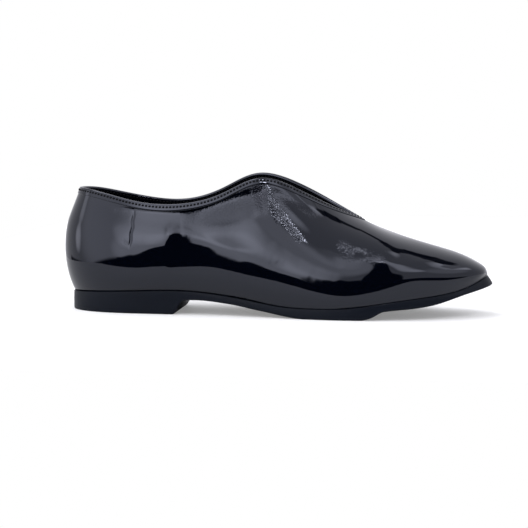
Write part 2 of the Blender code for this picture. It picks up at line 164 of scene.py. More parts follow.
def wallWeights(shares):
    shares = np.asarray(shares, float)
    late = shares > 0.5
    u = 2 * np.where(late, 1 - shares, shares)
    early = np.stack([(1 - u) ** 3, 1.75 * u**3 - 4.5 * u**2 + 3 * u, 1.5 * u**2 - u**3, u**3 / 4, 0 * u], -1)
    return np.where(late[..., None], early[..., ::-1], early)


lastSizes = (lastForm["length"], lastForm["ballWidth"], lastForm["instepHeight"])
featherCurves = [
    roundTheShoe(tableColumn("feather", 0, lastSizes[0]), tableColumn("feather", 2, lastSizes[0])),
    roundTheShoe(tableColumn("feather", 1, lastSizes[1]), tableColumn("feather", 3, lastSizes[1])),
    roundTheShoe(*[tableColumn("feather", 4, lastForm["heelSeat"])] * 2),
]
soleFlare = roundTheShoe(*[tableColumn("feather", 5)] * 2)
leanCurve = roundTheShoe(*[tableColumn("top", 6, math.pi / 180)] * 2)
crownCurve = roundTheShoe(*[tableColumn("top", 7, lastSizes[1])] * 2)
lateralTop = [tableColumn("top", i, lastSizes[i]) for i in range(3)]
medialTop = [tableColumn("top", i + 3, lastSizes[i]) for i in range(3)]
ridgeCurves = [smoothCurve(values[:throatSection + 1]) for values in lateralTop]
collarLoops = [np.concatenate([near[throatSection:], far[-2:throatSection - 1:-1]])
               for near, far in zip(lateralTop, medialTop)]
collarCurves = [smoothCurve(loop, throatSection) for loop in collarLoops]


def loopPlace(side, sections):
    return sections if side < 0 else (loopLength - sections) % loopLength


def featherPoint(side, sections):
    place = loopPlace(side, np.asarray(sections, float))
    return np.stack([curve(place) for curve in featherCurves], -1)


def outward(side, sections):
    place = loopPlace(side, np.asarray(sections, float))
    step = lastForm["slopeStep"]
    runX, runY = (curve(place + step) - curve(place - step) for curve in featherCurves[:2])
    return np.stack([-runY, runX, 0 * runX], -1) / np.hypot(runX, runY)[..., None]


def topPoint(side, sections):
    sections = np.asarray(sections, float)
    place = sections if side < 0 else loopLength - sections
    place = np.clip(place, throatSection, loopLength - throatSection)
    onRidge = np.stack([curve(np.minimum(sections, throatSection)) for curve in ridgeCurves], -1)
    onCollar = np.stack([curve(place) for curve in collarCurves], -1)
    return np.where((sections <= throatSection)[..., None], onRidge, onCollar)


def crownGuide(side, sections):
    sections = np.asarray(sections, float)
    place = loopPlace(side, sections)
    step = lastForm["slopeStep"]
    before = np.clip(sections - step, 0, throatSection - step)
    run = np.stack([curve(before) - curve(before + step) for curve in ridgeCurves], -1)
    run = run / np.linalg.norm(run, axis=-1, keepdims=True)
    ease = softRamp((throatSection - sections) / lastForm["ridgeEase"])[..., None]
    run = ease * run + (1 - ease) * np.array([1.0, 0.0, 0.0])
    run = run / np.linalg.norm(run, axis=-1, keepdims=True)
    out = outward(side, sections)
    level = out[..., 1:2] * np.array([0.0, 1.0, 0.0]) + out[..., 0:1] * run
    lean = leanCurve(place)[..., None]
    reach = np.sin(lean) * level - np.cos(lean) * upward
    return topPoint(side, sections) + crownCurve(place)[..., None] * reach


def flankGuides(side):
    # reach and height of each section's two lower guide points
    share, step = lastForm["bulgeShare"], lastForm["slopeStep"]
    weights = wallWeights(share)
    rates = (wallWeights(share + step) - wallWeights(share - step)) / (2 * step)
    guides = []
    for section, row in enumerate(lastForm["flank"].values()):
        bulge, bulgeHeight = row[0 if side < 0 else 1], row[2]
        foot = featherPoint(side, section)
        if bulge <= 0:
            height = topPoint(side, section)[2] - foot[2]
            guides.append((0.0, lastForm["noseReach"] * height, lastForm["noseLow"] * height,
                           lastForm["noseBelly"] * height))
            continue
        rise = crownGuide(side, section) - foot
        reach = rise @ outward(side, section)
        tuck, flare = np.linalg.solve([weights[1:3], rates[1:3]],
                                      [bulge - weights[3] * reach, -rates[3] * reach])
        belly = (bulgeHeight - weights[3] * rise[2]) / (weights[1] * lastForm["tuckRise"] + weights[2])
        guides.append((tuck, flare, lastForm["tuckRise"] * belly, belly))
    return np.array(guides).T


wholeSections = np.arange(heelSection + 1)
flankCurves = [roundTheShoe(near, far) for near, far in zip(flankGuides(-1), flankGuides(1))]
crownPath = [roundTheShoe(near, far)
             for near, far in zip(crownGuide(-1, wholeSections).T, crownGuide(1, wholeSections).T)]


def wall(side, sections, shares):
    # points up the walls of these sections, in the last's own frame
    sections = np.atleast_1d(np.asarray(sections, float))
    place = loopPlace(side, sections)
    tuck, flare, low, belly = (curve(place)[:, None] for curve in flankCurves)
    foot, out = featherPoint(side, sections), outward(side, sections)
    crown = np.stack([curve(place) for curve in crownPath], -1)
    guides = np.stack([foot, foot + out * tuck + upward * low, foot + out * flare + upward * belly, crown,
                       topPoint(side, sections)], 1)
    return np.einsum("mk,nkc->nmc", wallWeights(shares), guides)


def evenSections(step, first=0):
    # sections at even steps along the feather edge, with the throat among them
    fine = np.linspace(first, heelSection, 3001)
    steps = np.linalg.norm(np.diff(featherPoint(-1, fine), axis=0), axis=1)
    length = np.concatenate([[0], np.cumsum(steps)])
    count = max(2, round(length[-1] / step))
    found = np.interp(np.linspace(0, length[-1], count + 1), length, fine)
    found[np.argmin(abs(found - throatSection))] = throatSection
    return found


def layGrid(points, marks=None):
    # a grid operator's vertices laid on a table of points, with any marks kept on them
    along, across = points.shape[0] - 1, points.shape[1] - 1
    mesh = bmesh.new()
    bmesh.ops.create_grid(mesh, x_segments=across, y_segments=along, size=0.5)
    layers = [(mesh.verts.layers.float.new(name), values) for name, values in (marks or {}).items()]
    places = points + np.array(lastForm["heelToOrigin"])
    for vertex in mesh.verts:
        i = round((vertex.co.y + 0.5) * along)
        j = round((vertex.co.x + 0.5) * across)
        vertex.co = Vector(places[i, j])
        for layer, values in layers:
            vertex[layer] = float(values[i, j])
    return mesh


def weldSeams(mesh, reach=2e-6):
    bmesh.ops.remove_doubles(mesh, verts=mesh.verts, dist=reach)
    bmesh.ops.dissolve_degenerate(mesh, edges=mesh.edges, dist=reach)


def makePiece(name, mesh, material, node=None, sharp=None):
    data = bpy.data.meshes.new(name)
    mesh.to_mesh(data)
    mesh.free()
    data.shade_smooth()
    if sharp:
        data.set_sharp_from_angle(angle=math.radians(sharp))
    data.materials.append(material)
    made = bpy.data.objects.new(name, data)
    bpy.context.scene.collection.objects.link(made)
    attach(made, "root")
    if node:
        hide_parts(node)
    return made


def newMaterial(name, values):
    # a shader with these values on its own sockets, and the nodes to feed the rest
    material = bpy.data.materials.new(name)
    material.use_nodes = True
    tree = material.node_tree
    shader = tree.nodes["Principled BSDF"]
    for socket, value in values.items():
        shader.inputs[socket].default_value = value
    place = tree.nodes.new("ShaderNodeTexCoord").outputs["Object"]
    return material, tree, shader, place


def addNode(tree, kind, inputs=None, **settings):
    node = tree.nodes.new(kind)
    for name, value in settings.items():
        setattr(node, name, value)
    for socket, value in (inputs or {}).items():
        if isinstance(value, bpy.types.NodeSocket):
            tree.links.new(value, node.inputs[socket])
        else:
            node.inputs[socket].default_value = value
    return node


def noise(tree, place, scale, detail=2.0, roughness=0.5):
    inputs = {"Vector": place, "Scale": scale, "Detail": detail, "Roughness": roughness}
    return addNode(tree, "ShaderNodeTexNoise", inputs).outputs["Fac"]


def twoTones(tree, shader, amount, dark, light):
    # colour that drifts between two tones of one finish
    tones = {"Factor": amount, "A": (*dark, 1.0), "B": (*light, 1.0)}
    mix = addNode(tree, "ShaderNodeMix", tones, data_type="RGBA")
    result = next(socket for socket in mix.outputs if socket.type == "RGBA")
    tree.links.new(result, shader.inputs["Base Color"])


def spread(tree, value, low, high):
    inputs = {"Value": value, "To Min": low, "To Max": high}
    return addNode(tree, "ShaderNodeMapRange", inputs).outputs["Result"]


def bump(tree, height, distance, strength=1.0, under=None):
    inputs = {"Height": height, "Distance": distance, "Strength": strength}
    if under:
        inputs["Normal"] = under
    return addNode(tree, "ShaderNodeBump", inputs).outputs["Normal"]


# Patent leather of the upper.
patentFinish = {
    "dark": (0.0002, 0.0006, 0.0022),
    "light": (0.0006, 0.0011, 0.0032),
    "shader": {"Roughness": 0.035, "IOR": 1.50, "Specular Tint": (0.83, 0.87, 1.0, 1.0)},
    "toneScale": 45.0,
    "peelScale": 140.0,      # wobble of the lacquer
    "peelDepth": 0.00003,
    "grainScale": 1000.0,    # fine break where the leather is creased
    "grainDepth": 0.00030,
}


def patentLeather():
    look = patentFinish
    material, tree, shader, place = newMaterial("patent_leather_black", look["shader"])
    twoTones(tree, shader, noise(tree, place, look["toneScale"], 4.0), look["dark"], look["light"])
    peel = bump(tree, noise(tree, place, look["peelScale"], 1.0), look["peelDepth"])
    wrinkle = addNode(tree, "ShaderNodeAttribute", attribute_name="wrinkle").outputs["Fac"]
    grain = bump(tree, noise(tree, place, look["grainScale"], 1.0), look["grainDepth"], wrinkle, peel)
    tree.links.new(grain, shader.inputs["Normal"])
    return material


# Upper: vamp and quarters in one lasted wall. Creases run over places (along, up) in metres as seen
# from the lateral side; depth is the trough and a minus depth is a ridge, and widths are right and left of
# the path.
upperForm = {
    "columnStep": 0.0015,
    "rows": 88,
    "fine": ((10.85, 11.35, 24), (12.10, 12.34, 24)),    # sections with closer columns, for the sharp creases
    "leather": 0.0012,
    "seamGap": 1e-5,         # columns whose sides come this close are joined over the toe
    "seamFade": 0.005,       # creases end this far from the middle of the toe
    "creases": {
        "counterEnd": {
            "path": [(-0.0835, 0.0628), (-0.0832, 0.0592), (-0.0840, 0.0556), (-0.0835, 0.0520),
                     (-0.0845, 0.0482), (-0.0843, 0.0442), (-0.0852, 0.0402), (-0.0850, 0.0380)],
            "depth": 0.00022, "width": (0.0008, 0.0006), "fade": (0.006, 0.008), "wrinkle": 0.2},
        "counterLines": {
            "path": [(-0.0880, 0.0460), (-0.0874, 0.0395)],
            "depth": 0.00004, "width": (0.0016, 0.0016), "fade": (0.003, 0.003), "wrinkle": 0.35},
        "counterFront": {
            "path": [(-0.0606, 0.0562), (-0.0608, 0.0340)],
            "depth": -0.00030, "width": (0.0140, 0.0044), "fade": (0.009, 0.008), "wrinkle": 0.0},
        "counterLean": {
            "path": [(-0.0606, 0.0585), (-0.0608, 0.0360)],
            "depth": -0.00044, "width": (0.0030, 0.0120), "fade": (0.012, 0.016), "wrinkle": 0.0},
        "counterBulge": {
            "path": [(-0.0840, 0.0370), (-0.0600, 0.0370)],
            "depth": -0.00030, "width": (0.0100, 0.0120), "fade": (0.014, 0.004), "wrinkle": 0.0},
        "collarTrough": {
            "path": [(-0.1160, 0.0672), (-0.1080, 0.0650), (-0.0912, 0.0621), (-0.0735, 0.0610),
                     (-0.0600, 0.0604), (-0.0480, 0.0616)],
            "depth": 0.00060, "width": (0.0090, 0.0021), "fade": (0.025, 0.012), "wrinkle": 0.05},
        "collarPatch": {
            "path": [(-0.0600, 0.0592), (-0.0546, 0.0592), (-0.0427, 0.0622), (-0.0310, 0.0660),
                     (-0.0160, 0.0708), (-0.0065, 0.0736), (-0.0020, 0.0744)],
            "depth": 0.00125, "width": (0.0095, 0.0036), "fade": (0.018, 0.006), "wrinkle": 0.4},
        "collarEdge": {
            "path": [(-0.0020, 0.0744), (0.0040, 0.0726), (0.0150, 0.0660), (0.0260, 0.0590),
                     (0.0360, 0.0525)],
            "depth": 0.00045, "width": (0.0040, 0.0020), "fade": (0.004, 0.025), "wrinkle": 0.3},
        "quarterTrough": {
            "path": [(-0.0600, 0.0545), (-0.0504, 0.0532), (-0.0419, 0.0490), (-0.0332, 0.0448),
                     (-0.0236, 0.0417), (-0.0113, 0.0406), (-0.0027, 0.0408)],
            "depth": 0.00014, "width": (0.0018, 0.0060), "fade": (0.012, 0.025), "wrinkle": 0.0},
        "instepStreak": {
            "path": [(-0.0150, 0.0724), (-0.0092, 0.0728), (-0.0062, 0.0722), (-0.0032, 0.0707),
                     (-0.0006, 0.0660), (0.0031, 0.0618), (0.0067, 0.0574), (0.0090, 0.0550)],
            "depth": 0.0, "width": (0.0036, 0.0046), "fade": (0.003, 0.006), "wrinkle": 1.0},
        "instepTail": {
            "path": [(0.0031, 0.0618), (0.0067, 0.0574), (0.0114, 0.0526), (0.0150, 0.0482),
                     (0.0180, 0.0446)],
            "depth": 0.0, "width": (0.0019, 0.0026), "fade": (0.006, 0.002), "wrinkle": 1.0},
        "ballStreak": {
            "path": [(0.0370, 0.0452), (0.0406, 0.0433), (0.0444, 0.0409), (0.0490, 0.0377),
                     (0.0510, 0.0364)],
            "depth": 0.0, "width": (0.0034, 0.0040), "fade": (0.004, 0.004), "wrinkle": 0.9},
        "quarterFold": {
            "path": [(0.0230, 0.0412), (0.0296, 0.0413), (0.0408, 0.0337), (0.0557, 0.0314),
                     (0.0730, 0.0326)],
            "depth": 0.00013, "width": (0.0034, 0.0034), "fade": (0.015, 0.015), "wrinkle": 0.0},
        "ballLean": {
            "path": [(0.0144, 0.0330), (0.0144, 0.0100)],
            "depth": -0.00014, "width": (0.0200, 0.0140), "fade": (0.008, 0.006), "wrinkle": 0.0},
        "peakMark": {
            "path": [(-0.0095, 0.0795), (-0.0032, 0.0715)],
            "depth": 0.0, "width": (0.0045, 0.0045), "fade": (0.001, 0.001), "wrinkle": 1.0},
        "flexCrease": {
            "path": [(0.0500, 0.0356), (0.0600, 0.0352), (0.0690, 0.0352)],
            "depth": -0.00018, "width": (0.0015, 0.0060), "fade": (0.008, 0.005), "wrinkle": 1.0},
        "flexRidge": {
            "path": [(0.0712, 0.0370), (0.0706, 0.0300), (0.0700, 0.0235)],
            "depth": -0.00040, "width": (0.0050, 0.0080), "fade": (0.004, 0.005), "wrinkle": 0.0},
        "toeRise": {
            "path": [(0.0740, 0.0376), (0.0860, 0.0366), (0.0960, 0.0355), (0.1060, 0.0335)],
            "depth": -0.00030, "width": (0.0050, 0.0080), "fade": (0.010, 0.014), "wrinkle": 0.0},
        "toeLineHigh": {
            "path": [(0.0793, 0.0341), (0.0934, 0.0342), (0.1078, 0.0310)],
            "depth": -0.00011, "width": (0.0012, 0.0012), "fade": (0.008, 0.010), "wrinkle": 0.0},
        "toeLineLow": {
            "path": [(0.0762, 0.0295), (0.0932, 0.0286), (0.1107, 0.0276)],
            "depth": -0.00006, "width": (0.0012, 0.0012), "fade": (0.008, 0.010), "wrinkle": 0.0},
    },
}


def creaseShare(places, crease):
    # 1 on the crease's line, less beside it and towards its ends
    path = np.array(crease["path"])
    runs = np.linalg.norm(np.diff(path, axis=0), axis=1)
    starts = np.concatenate([[0], np.cumsum(runs)])
    nearest = np.full(len(places), 1e9)
    along = np.zeros(len(places))
    width = np.zeros(len(places))
    for i, run in enumerate(runs):
        line = (path[i + 1] - path[i]) / run
        t = np.clip((places - path[i]) @ line, 0, run)
        apart = places - path[i] - t[:, None] * line
        far = np.linalg.norm(apart, axis=1)
        closer = far < nearest
        nearest = np.where(closer, far, nearest)
        along = np.where(closer, starts[i] + t, along)
        left = line[0] * apart[:, 1] > line[1] * apart[:, 0]
        width = np.where(closer, np.where(left, *crease["width"][::-1]), width)
    first, last = crease["fade"]
    ends = softRamp(np.minimum(along / first, (starts[-1] - along) / last))
    return np.exp(-(nearest / width) ** 2) * ends


def surfaceNormals(points):
    across = np.cross(np.gradient(points, axis=0), np.gradient(points, axis=1))
    return across / np.maximum(np.linalg.norm(across, axis=2, keepdims=True), 1e-12)


def roundGrid(step, rows, first=0, fine=()):
    # walls of the whole loop: lateral from the toe to the heel, then medial back
    sections = np.union1d(evenSections(step, first), fine)
    shares = np.linspace(0, 1, rows + 1)
    lateral = wall(-1, sections, shares)
    medial = wall(1, sections, shares)[-2::-1]
    return np.concatenate([lateral, medial]), np.concatenate([sections, loopLength - sections[-2::-1]])


def outerNormals(points):
    normals = surfaceNormals(points)
    if normals[len(points) // 4, points.shape[1] // 3, 1] > 0:
        normals = -normals
    return normals


def makeUpper(material):
    form = upperForm
    fine = np.concatenate([np.linspace(*span) for span in form["fine"]])
    points, places = roundGrid(form["columnStep"], form["rows"], 0, fine)
    flat = (points + np.array(lastForm["heelToOrigin"]))[..., [0, 2]].reshape(-1, 2)
    top = points[:, -1:]
    joined = np.linalg.norm(top - top[::-1], axis=2) < form["seamGap"]
    away = softRamp(np.linalg.norm(points - top, axis=2) / form["seamFade"])
    calm = np.where(joined, away, 1).reshape(-1)
    lateral = np.repeat(places <= heelSection, form["rows"] + 1) * calm
    shift = np.zeros(len(flat))
    wrinkle = np.zeros(len(flat))
    for crease in form["creases"].values():
        share = creaseShare(flat, crease) * lateral
        shift -= crease["depth"] * share
        wrinkle = np.maximum(wrinkle, crease["wrinkle"] * share)
    points = points + outerNormals(points) * shift.reshape(points.shape[:2])[..., None]
    mesh = layGrid(points, {"wrinkle": wrinkle.reshape(points.shape[:2])})
    weldSeams(mesh)
    bmesh.ops.recalc_face_normals(mesh, faces=mesh.faces)
    made = makePiece("patent_upper", mesh, material, "upper")
    thick = made.modifiers.new("leather", "SOLIDIFY")
    thick.thickness = form["leather"]
    thick.offset = -1
    thick.use_even_offset = True
    return made


patent = patentLeather()
upper = makeUpper(patent)
print("upper:", len(upper.data.polygons), "faces")

# Lining behind the leather.
liningForm = {
    "columnStep": 0.0024,
    "rows": 32,
    "first": "toeCorner",    # it ends behind the toe puff
    "behind": 0.0013,
    "cloth": 0.0005,
    "weld": 0.0002,
    "dark": (0.0045, 0.0045, 0.0052),
    "light": (0.0090, 0.0090, 0.0100),
    "shader": {"Roughness": 0.62, "Specular IOR Level": 0.30, "Sheen Weight": 0.10, "Sheen Roughness": 0.5},
    "grainScale": 900.0,
    "grainDepth": 0.00008,
}


def grainedCloth(name, form):
    material, tree, shader, place = newMaterial(name, form["shader"])
    pores = addNode(tree, "ShaderNodeTexVoronoi", {"Vector": place, "Scale": form["grainScale"]})
    twoTones(tree, shader, noise(tree, place, form["grainScale"] / 8, 4.0), form["dark"], form["light"])
    tree.links.new(bump(tree, pores.outputs["Distance"], form["grainDepth"]), shader.inputs["Normal"])
    return material


def makeLining(material):
    form = liningForm
    points, _ = roundGrid(form["columnStep"], form["rows"], sectionNames.index(form["first"]))
    points = points - outerNormals(points) * form["behind"]
    mesh = layGrid(points)
    weldSeams(mesh, form["weld"])
    bmesh.ops.recalc_face_normals(mesh, faces=mesh.faces)
    made = makePiece("upper_lining", mesh, material, "upper")
    thick = made.modifiers.new("cloth", "SOLIDIFY")
    thick.thickness = form["cloth"]
    thick.offset = -1
    return made


lining = makeLining(grainedCloth("lining_black", liningForm))
print("lining:", len(lining.data.polygons), "faces")

# Folded edge of the topline: reach out of the wall and depth under the topline, in millimetres.
bindingForm = {
    "step": 0.0013,
    "wall": 1.8,
    "outer": [(0.02, 3.5), (0.22, 3.45), (0.34, 3.2), (0.40, 2.6), (0.40, 1.9), (0.38, 1.4), (0.37, 0.95),
              (0.38, 0.50), (0.39, 0.10), (0.34, -0.30), (0.22, -0.62), (-0.02, -0.86), (-0.50, -1.00)],
    "foldGap": 0.1,          # between the fold and the wall's edge
    "steps": (0.0, 0.6, 1.2, 2.4, 3.6, 4.8),     # down the wall
    "fanSteps": 7,           # round the tip of the V
    "stitchDepth": 0.95,
}


def downTheWall(side, section, depths):
    fine = wall(side, [section], np.linspace(1, 0.6, 81))[0]
    return walkAlong(fine, depths)


def walkAlong(line, depths):
    steps = np.linalg.norm(np.diff(line, axis=0), axis=1)
    run = np.concatenate([[0], np.cumsum(steps)])
    return np.stack([np.interp(depths, run, line[:, axis]) for axis in range(3)], -1)


def toplineStops(step):
    # places round the topline from the throat and back to it, each with its way down the wall
    sections = evenSections(step, throatSection)[1:]
    depths = np.array(bindingForm["steps"]) / 1000
    ridge = np.stack([curve(throatSection - np.linspace(0, 1, 81)) for curve in ridgeCurves], -1)
    tip = ridge[0]
    lateral = [downTheWall(-1, section, depths) for section in sections]
    medial = [downTheWall(1, section, depths) for section in sections[:-1]][::-1]
    forward = walkAlong(ridge, depths) - tip
    fan = []
    for turn in np.linspace(-1, 1, bindingForm["fanSteps"] + 2)[1:-1]:
        side = medial[-1] if turn < 0 else lateral[0]
        aside = side - side[0]
        fan.append(tip + forward * math.cos(turn * math.pi / 2) + aside * abs(math.sin(turn * math.pi / 2)))
    return depths, np.array(fan + lateral + medial)


def toplineFrames(stops):
    # out of the wall and up, at each depth of each stop
    run = (np.roll(stops, -1, axis=0) - np.roll(stops, 1, axis=0)).sum(axis=1, keepdims=True)
    down = np.gradient(stops, axis=1)
    out = np.cross(np.broadcast_to(run, down.shape), down)
    out = out / np.linalg.norm(out, axis=2, keepdims=True)
    up = -down[:, 0] / np.linalg.norm(down[:, 0], axis=1, keepdims=True)
    return out, up


def onTopline(stops, depths, out, up, reach, depth):
    # points all round at one reach and depth, in metres
    level = np.interp(max(depth, 0), depths, np.arange(len(depths)))
    i = min(int(level), len(depths) - 2)
    places = stops[:, i] + (stops[:, i + 1] - stops[:, i]) * (level - i)
    outs = out[:, i] + (out[:, i + 1] - out[:, i]) * (level - i)
    outs = outs / np.linalg.norm(outs, axis=1, keepdims=True)
    return places + outs * reach + up * max(-depth, 0)


def bindingProfile():
    form = bindingForm
    outside = form["outer"]
    across = form["wall"]
    inside = [(-across - reach, depth) for reach, depth in outside[::-1]]
    gap = form["foldGap"]
    lowest = outside[0][1]
    hidden = [(-across - gap / 5, lowest / 2), (-across, -gap), (0.0, -gap), (gap / 5, lowest / 2)]
    return [(reach / 1000, depth / 1000) for reach, depth in outside + inside + hidden + outside[:1]]


toplineDepths, toplinePlaces = toplineStops(bindingForm["step"])
toplineOut, toplineUp = toplineFrames(toplinePlaces)


def aroundTopline(reach, depth):
    return onTopline(toplinePlaces, toplineDepths, toplineOut, toplineUp, reach, depth)


def makeBinding(material):
    rings = np.stack([aroundTopline(reach, depth) for reach, depth in bindingProfile()], 1)
    rings = np.concatenate([rings, rings[:1]])
    mesh = layGrid(rings)
    weldSeams(mesh)
    bmesh.ops.recalc_face_normals(mesh, faces=mesh.faces)
    return makePiece("folded_binding", mesh, material, "topline_binding")


binding = makeBinding(patent)
print("binding:", len(binding.data.polygons), "faces")

# Stitches along the folded edge, outside and inside.
stitchForm = {
    "pitch": 0.0021,
    "long": 0.00094,         # half of a stitch's length
    "tall": 0.00074,         # half of its height up the wall
    "thick": 0.00042,        # half of its thickness
    "reach": 0.00022,
    "tilt": 9.0,
    "dark": (0.0010, 0.0011, 0.0014),
    "light": (0.0040, 0.0042, 0.0050),
    "shader": {"Roughness": 0.55, "Specular IOR Level": 0.08},
    "twistScale": 2600.0,
    "twistDepth": 0.00005,
}


def threadMaterial():
    form = stitchForm
    material, tree, shader, place = newMaterial("thread_black", form["shader"])
    twist = noise(tree, place, form["twistScale"])
    twoTones(tree, shader, twist, form["dark"], form["light"])
    tree.links.new(bump(tree, twist, form["twistDepth"]), shader.inputs["Normal"])
    return material


def makeStitches(material):
    form = stitchForm
    depth = bindingForm["stitchDepth"] / 1000
    across = bindingForm["wall"] / 1000
    origin = Vector(lastForm["heelToOrigin"])
    tilt = Matrix.Rotation(math.radians(form["tilt"]), 4, "Z")
    shape = tilt @ Matrix.Diagonal((form["long"], form["tall"], form["thick"], 1.0))
    mesh = bmesh.new()
    for reach in (form["reach"], -across - form["reach"]):
        line = aroundTopline(reach, depth)
        line = np.concatenate([line, line[:1]])
        lengths = np.linalg.norm(np.diff(line, axis=0), axis=1).sum()
        count = round(lengths / form["pitch"])
        centres = walkAlong(line, np.linspace(0, lengths, count + 1)[:-1])
        runs = np.roll(centres, -1, axis=0) - np.roll(centres, 1, axis=0)
        outs = aroundTopline(reach + 0.001, depth) - line[:-1]
        for centre, run in zip(centres, runs):
            near = np.argmin(np.linalg.norm(line[:-1] - centre, axis=1))
            along = Vector(run).normalized()
            out = Vector(outs[near]).normalized()
            side = out.cross(along).normalized()
            out = along.cross(side)
            turn = Matrix((along, side, out)).transposed().to_4x4()
            place = Matrix.Translation(Vector(centre) + origin) @ turn @ shape
            bmesh.ops.create_uvsphere(mesh, u_segments=8, v_segments=5, radius=1.0, matrix=place)
    return makePiece("topline_stitches", mesh, material)


stitches = makeStitches(threadMaterial())
print("stitches:", len(stitches.data.polygons), "faces")

# Insole: sock on its board.
insoleForm = {
    "columnStep": 0.0026,
    "front": "toeCorner",
    "setback": 0.0028,
    "thick": 0.0025,
    "round": 0.0009,
    "profile": [(0.0, 0.0), (0.0, 0.5), (0.3, 0.9), (1.0, 1.0)],     # shares of round and thick
    "across": 14,
    "under": 4,
    "dark": (0.0070, 0.0070, 0.0078),
    "light": (0.0130, 0.0130, 0.0140),
    "shader": {"Roughness": 0.58, "Specular IOR Level": 0.30},
    "grainScale": 700.0,
    "grainDepth": 0.00010,
}


def makeInsole(material):
    form = insoleForm
    sections = evenSections(form["columnStep"], sectionNames.index(form["front"]))
    edges = [featherPoint(side, sections) - outward(side, sections) * form["setback"] for side in (-1, 1)]
    width = np.linalg.norm(edges[1] - edges[0], axis=1)[:, None]

    def rim(near, far, inset, height):
        step = np.minimum(inset * form["round"] / np.maximum(width, 1e-6), 0.5)
        return near + (far - near) * step + upward * height * form["thick"]

    def between(share, height):
        return edges[0] + (edges[1] - edges[0]) * share + upward * height

    rings = [rim(*edges, *corner) for corner in form["profile"]]
    rings += [between(share, form["thick"]) for share in np.linspace(0, 1, form["across"] + 1)[1:-1]]
    rings += [rim(*edges[::-1], *corner) for corner in form["profile"][::-1]]
    rings += [between(share, 0.0) for share in np.linspace(1, 0, form["under"] + 1)[1:]]
    mesh = layGrid(np.stack(rings, 1))
    weldSeams(mesh)
    bmesh.ops.holes_fill(mesh, edges=[edge for edge in mesh.edges if edge.is_boundary])
    bmesh.ops.recalc_face_normals(mesh, faces=mesh.faces)
    return makePiece("sock_insole", mesh, material, "insole", sharp=50)


insole = makeInsole(grainedCloth("sock_black", insoleForm))
print("insole:", len(insole.data.polygons), "faces")

# Moulded sole with its heel. Tread: along as a share of the length, rise in metres.
outsoleForm = {
    "columnStep": 0.0008,
    "margin": 0.0005,
    "gap": 0.0003,
    "topRound": 0.0004,
    "edgeRound": 0.0008,
    "belly": 0.00012,
    "tread": [(0.020, 0.0), (0.271, 0.0), (0.296, 0.0086), (0.325, 0.0088), (0.405, 0.0070), (0.475, 0.0038),
              (0.580, 0.0), (0.704, 0.0), (0.727, 0.0013), (0.757, 0.0051), (0.825, 0.0068), (0.865, 0.0084),
              (0.940, 0.0143), (1.000, 0.0187)],
    "treads": {"heel": (0.045, 0.255), "ball": (0.590, 0.695)},
    "ribPitch": 0.0034,
    "ribShare": 0.62,
    "ribDepth": 0.0006,
    "border": 0.006,
    "across": 36,
    "dark": (0.0006, 0.0020, 0.0056),
    "light": (0.0014, 0.0036, 0.0088),
    "shader": {"Specular IOR Level": 0.14},
    "gloss": (0.34, 0.50),   # roughness, from its least to its most
    "glossScale": 60.0,
    "toneScale": 90.0,
    "fineScale": 2400.0,
    "fineDepth": 0.00004,
    "mottleScale": 220.0,
    "mottleDepth": 0.00006,
    "mottleShare": 0.6,
}


def flatCurve(knots, values):
    # smooth curve that never overshoots, so that flats stay flat
    knots, values = np.asarray(knots, float), np.asarray(values, float)
    gaps = np.diff(knots)
    slopes = np.diff(values) / gaps
    lean = np.zeros(len(knots))
    lean[0], lean[-1] = slopes[0], slopes[-1]
    for i in range(1, len(gaps)):
        if slopes[i - 1] * slopes[i] > 0:
            lean[i] = 2 * slopes[i - 1] * slopes[i] / (slopes[i - 1] + slopes[i])

    def at(place):
        place = np.clip(np.asarray(place, float), knots[0], knots[-1])
        i = np.clip(np.searchsorted(knots, place, side="right") - 1, 0, len(gaps) - 1)
        s = (place - knots[i]) / gaps[i]
        start = (1 + 2 * s) * (1 - s) ** 2 * values[i] + s * (1 - s) ** 2 * gaps[i] * lean[i]
        return start + s * s * (3 - 2 * s) * values[i + 1] + s * s * (s - 1) * gaps[i] * lean[i + 1]

    return at


def soleRubber():
    form = outsoleForm
    material, tree, shader, place = newMaterial("sole_rubber_black", form["shader"])
    twoTones(tree, shader, noise(tree, place, form["toneScale"], 4.0), form["dark"], form["light"])
    gloss = spread(tree, noise(tree, place, form["glossScale"], 3.0), *form["gloss"])
    tree.links.new(gloss, shader.inputs["Roughness"])
    fine = bump(tree, noise(tree, place, form["fineScale"]), form["fineDepth"])
    mottle = noise(tree, place, form["mottleScale"])
    mottle = bump(tree, mottle, form["mottleDepth"], form["mottleShare"], fine)
    tree.links.new(mottle, shader.inputs["Normal"])
    return material


